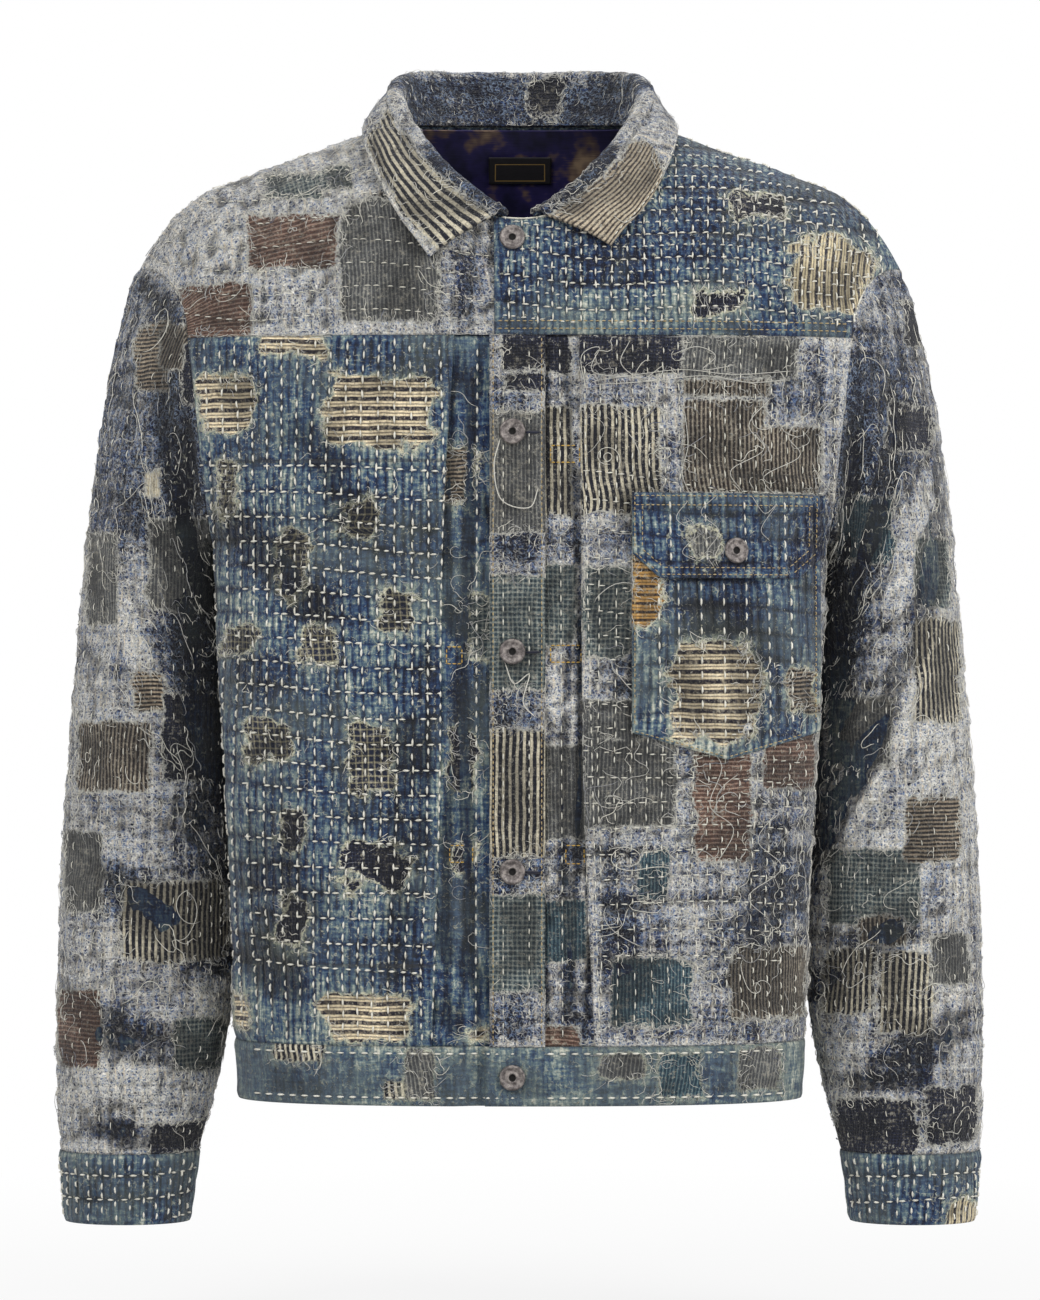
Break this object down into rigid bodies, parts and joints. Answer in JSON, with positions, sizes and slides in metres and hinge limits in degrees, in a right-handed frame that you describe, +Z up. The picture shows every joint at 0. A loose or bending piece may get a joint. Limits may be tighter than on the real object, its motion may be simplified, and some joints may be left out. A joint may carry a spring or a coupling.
{
  "type": "patched jacket",
  "caption": "Hip-length boro work jacket with a shirt collar, button front, chest pocket with a flap, waistband and cuffs, filled out as when worn.",
  "frame": {"origin": "midway between the two points where the shoulder seams meet the neck, which is where a wearer's shoulders hold the jacket up", "axes": "+Z up, the wearer's front towards -Y, +X towards the wearer's left"},
  "size_m": [0.625, 0.2426, 0.7798],
  "materials": {
    "denim": "washed indigo cotton, quilted with running stitch",
    "gauze": "loose worn cotton patchwork",
    "check": "patched checks and stripes",
    "lining": "smooth printed lining",
    "label": "plain black woven label",
    "button_metal": "worn, dull"
  },
  "bodies": {
    "root": {"front_panel_right": "denim", "front_panel_left": "gauze", "pleat_and_button_band_right": "denim", "pleat_left": "gauze", "placket_left": "check", "yoke_right": "gauze", "yoke_left": "denim", "back": "gauze", "sleeve_right": "gauze", "sleeve_left": "gauze", "cuff_right": "denim", "cuff_left": "denim", "collar": "gauze", "waistband": "denim", "pocket": "denim", "pocket_flap": "denim", "neck_lining": "lining", "neck_label": "label", "button_neck": "button_metal", "button_chest": "button_metal", "button_middle": "button_metal", "button_waist": "button_metal", "button_hem": "button_metal", "button_pocket": "button_metal"}
  },
  "joints": []
}
